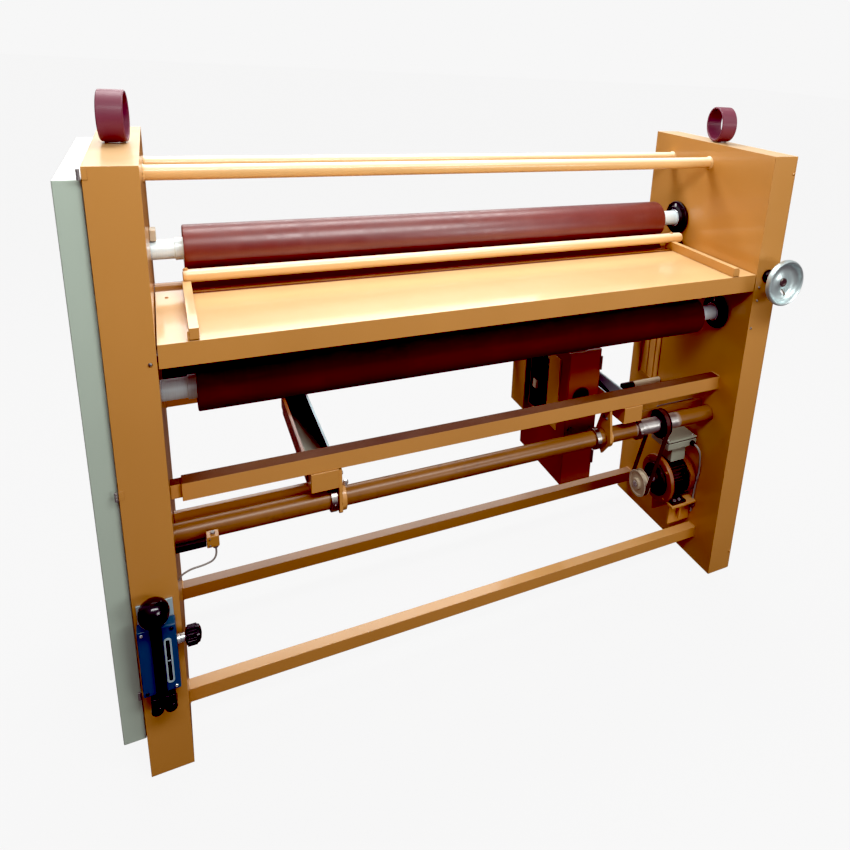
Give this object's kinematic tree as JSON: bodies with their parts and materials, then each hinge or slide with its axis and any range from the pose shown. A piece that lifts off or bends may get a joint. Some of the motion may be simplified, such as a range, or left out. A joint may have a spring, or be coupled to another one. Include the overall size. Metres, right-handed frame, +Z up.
{
  "type": "cold roll laminator",
  "caption": "Floor-standing roll laminator: rubber pressure rollers and a feed table between two sheet-steel side cabinets, with a motor, belt, line shaft and chain drive.",
  "frame": {"origin": "on the floor, under the middle of the machine's bounding box", "axes": "+X along the rollers to the handwheel side, +Y from the front to the back, +Z up"},
  "size_m": [1.604, 0.552, 1.3465],
  "materials": {
    "ochre_paint": "gloss ochre enamel on folded sheet and tube",
    "grey_paint": "satin pale grey-green enamel",
    "maroon_rubber": "smooth dark red roller covering",
    "maroon_paint": "gloss dark red enamel",
    "ground_steel": "ground steel",
    "black_iron": "black oxide and black enamel on cast iron",
    "polished_wheel": "polished bright metal",
    "navy_paint": "gloss navy enamel",
    "black_plastic": "black moulded plastic",
    "cream_plastic": "cream moulded plastic",
    "belt_rubber": "black belt rubber",
    "chain_steel": "oiled chain steel",
    "motor_paint": "brown enamel on a finned casting"
  },
  "bodies": {
    "frame": {"left_cabinet": "ochre_paint", "right_cabinet": "ochre_paint", "right_side_panel": "ochre_paint", "upper_tie_tube_front": "ochre_paint", "upper_tie_tube_rear": "ochre_paint", "lower_front_rail": "ochre_paint", "lower_rear_rail": "ochre_paint", "mid_front_beam": "ochre_paint", "mid_rear_beam": "ochre_paint", "cross_channel_left": "ochre_paint", "cross_channel_right": "ochre_paint", "shaft_bearing_left": "ochre_paint", "shaft_bearing_right": "ochre_paint", "left_brace_bar": "ochre_paint", "work_table": "ochre_paint", "nip_bearing_right": "black_iron", "pull_bearing_right": "black_iron", "nip_bearing_left": "black_iron", "pull_bearing_left": "black_iron", "drive_belt": "belt_rubber", "drive_chain": "chain_steel", "motor_body": "motor_paint", "motor_terminal_box": "grey_paint", "motor_bracket": "ochre_paint", "electrical_box": "ochre_paint", "cover_hinge_upper": "black_iron", "cover_hinge_middle": "black_iron", "cover_hinge_lower": "black_iron", "control_back_plate": "ground_steel", "control_case": "navy_paint", "control_foot": "black_plastic", "limit_switch": "black_iron"},
    "upper_carriage": {"upper_bearing_right": "black_iron", "slide_block_left": "black_iron", "slide_block_right": "black_iron"},
    "upper_roller": {"upper_roller": "maroon_rubber", "upper_roller_shaft": "ground_steel"},
    "nip_roller": {"nip_roller": "maroon_rubber", "nip_roller_shaft": "ground_steel", "nip_sprocket": "chain_steel"},
    "pull_roller": {"pull_roller": "maroon_rubber", "pull_roller_shaft": "ground_steel", "pull_sprocket": "chain_steel"},
    "line_shaft": {"line_shaft": "ochre_paint", "line_shaft_pulley": "black_iron", "line_sprocket": "chain_steel"},
    "motor_rotor": {"motor_shaft": "ground_steel", "motor_pulley": "cream_plastic"},
    "handwheel": {"handwheel": "polished_wheel", "handwheel_shaft": "ground_steel"},
    "screw_left": {"pressure_screw_left": "ground_steel"},
    "screw_right": {"pressure_screw_right": "ground_steel"},
    "guide_bar": {"guide_tube": "ochre_paint", "guide_arm_left": "ochre_paint", "guide_arm_right": "ochre_paint"},
    "drive_cover": {"drive_cover": "grey_paint"},
    "control_lever": {"control_lever": "black_plastic"},
    "selector_knob": {"selector_knob": "black_plastic"},
    "ring_left": {"lifting_ring_left": "maroon_paint"},
    "ring_right": {"lifting_ring_right": "maroon_paint"}
  },
  "joints": [
    {"name": "upper_lift", "type": "slide", "parent": "frame", "child": "upper_carriage", "axis": [0, 0, 1], "range_m": [0, 0.015]},
    {"name": "nip_roller_spin", "type": "hinge", "parent": "frame", "child": "nip_roller", "pos_m": [0.01, 0.132, 0.9135], "axis": [-1, 0, 0], "continuous": true},
    {"name": "upper_roller_spin", "type": "hinge", "parent": "upper_carriage", "child": "upper_roller", "pos_m": [0.01, 0.132, 1.014], "axis": [-1, 0, 0], "continuous": true},
    {"name": "pull_roller_spin", "type": "hinge", "parent": "frame", "child": "pull_roller", "pos_m": [0.01, -0.083, 0.795], "axis": [-1, 0, 0], "continuous": true},
    {"name": "line_shaft_spin", "type": "hinge", "parent": "frame", "child": "line_shaft", "pos_m": [0.01, -0.108, 0.488], "axis": [-1, 0, 0], "continuous": true},
    {"name": "motor_spin", "type": "hinge", "parent": "frame", "child": "motor_rotor", "pos_m": [0.522, -0.048, 0.258], "axis": [-1, 0, 0], "continuous": true},
    {"name": "handwheel_turn", "type": "hinge", "parent": "frame", "child": "handwheel", "pos_m": [0.741, -0.208, 0.935], "axis": [0, -1, 0], "range_deg": [0, 1085]},
    {"name": "screw_left_turn", "type": "hinge", "parent": "upper_carriage", "child": "screw_left", "pos_m": [-0.702, 0.132, 1.12], "axis": [0, 0, 1], "range_deg": [0, 1085]},
    {"name": "screw_right_turn", "type": "hinge", "parent": "upper_carriage", "child": "screw_right", "pos_m": [0.722, 0.132, 1.12], "axis": [0, 0, 1], "range_deg": [0, 1085]},
    {"name": "guide_bar_lift", "type": "hinge", "parent": "frame", "child": "guide_bar", "pos_m": [0.01, -0.202, 0.954], "axis": [1, 0, 0], "range_deg": [0, 60]},
    {"name": "drive_cover_swing", "type": "hinge", "parent": "frame", "child": "drive_cover", "pos_m": [-0.765, -0.211, 0.625], "axis": [0, 0, 1], "range_deg": [0, 100]},
    {"name": "control_lever_tilt", "type": "hinge", "parent": "frame", "child": "control_lever", "pos_m": [-0.7255, -0.245, 0.238], "axis": [1, 0, 0], "range_deg": [0, 60]},
    {"name": "selector_turn", "type": "hinge", "parent": "frame", "child": "selector_knob", "pos_m": [-0.68, -0.225, 0.338], "axis": [1, 0, 0], "range_deg": [-90, 90]},
    {"name": "ring_left_swivel", "type": "hinge", "parent": "frame", "child": "ring_left", "pos_m": [-0.7218, 0.044, 1.25], "axis": [0, 0, 1], "range_deg": [-90, 90]},
    {"name": "ring_right_swivel", "type": "hinge", "parent": "frame", "child": "ring_right", "pos_m": [0.7418, 0.044, 1.25], "axis": [0, 0, 1], "range_deg": [-90, 90]}
  ],
  "couplings": [
    {"joint": "upper_roller_spin", "follows": "nip_roller_spin", "ratio": -1},
    {"joint": "pull_roller_spin", "follows": "nip_roller_spin", "ratio": 1},
    {"joint": "line_shaft_spin", "follows": "nip_roller_spin", "ratio": 1},
    {"joint": "motor_spin", "follows": "nip_roller_spin", "ratio": 1},
    {"joint": "handwheel_turn", "follows": "upper_lift", "rad_per_m": 1256.6},
    {"joint": "screw_left_turn", "follows": "upper_lift", "rad_per_m": 1256.6},
    {"joint": "screw_right_turn", "follows": "upper_lift", "rad_per_m": 1256.6}
  ]
}
